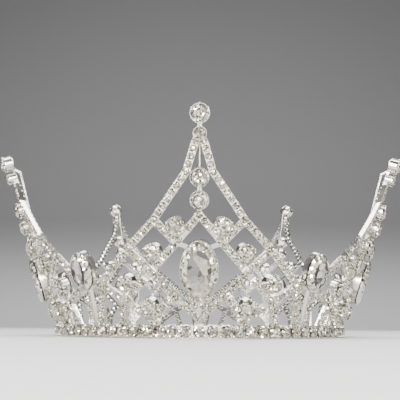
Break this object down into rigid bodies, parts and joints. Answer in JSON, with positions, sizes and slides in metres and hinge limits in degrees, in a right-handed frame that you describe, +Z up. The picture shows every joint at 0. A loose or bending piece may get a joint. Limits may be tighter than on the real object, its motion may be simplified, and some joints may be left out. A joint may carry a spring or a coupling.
{
  "type": "pageant crown",
  "caption": "Full round rhinestone pageant crown with flared peaked panels of cup chain, large oval stones and a stone-set base band.",
  "frame": {"origin": "on the resting plane, under the middle of the box that holds the crown, 9.9 mm in front of the ring's own axis", "axes": "+Z up through the head opening, the middle of the front panel toward -Y, +X to the viewer's right"},
  "size_m": [0.2192, 0.2102, 0.0955],
  "materials": {
    "silver_metal": "bright silver plate",
    "round_stone": "cut and foiled glass",
    "oval_stone": "cut and foiled glass"
  },
  "bodies": {
    "root": {"base_band": "silver_metal", "band_stones": "round_stone", "front_panel": "silver_metal", "front_round_stones": "round_stone", "front_big_oval": "oval_stone", "right_panel": "silver_metal", "right_round_stones": "round_stone", "right_big_oval": "oval_stone", "right_back_panel": "silver_metal", "right_back_round_stones": "round_stone", "right_back_big_oval": "oval_stone", "left_back_panel": "silver_metal", "left_back_round_stones": "round_stone", "left_back_big_oval": "oval_stone", "left_panel": "silver_metal", "left_round_stones": "round_stone", "left_big_oval": "oval_stone", "right_front_small_setting": "silver_metal", "right_front_small_oval": "oval_stone", "right_rear_small_setting": "silver_metal", "right_rear_small_oval": "oval_stone", "back_small_setting": "silver_metal", "back_small_oval": "oval_stone", "left_rear_small_setting": "silver_metal", "left_rear_small_oval": "oval_stone", "left_front_small_setting": "silver_metal", "left_front_small_oval": "oval_stone"}
  },
  "joints": []
}
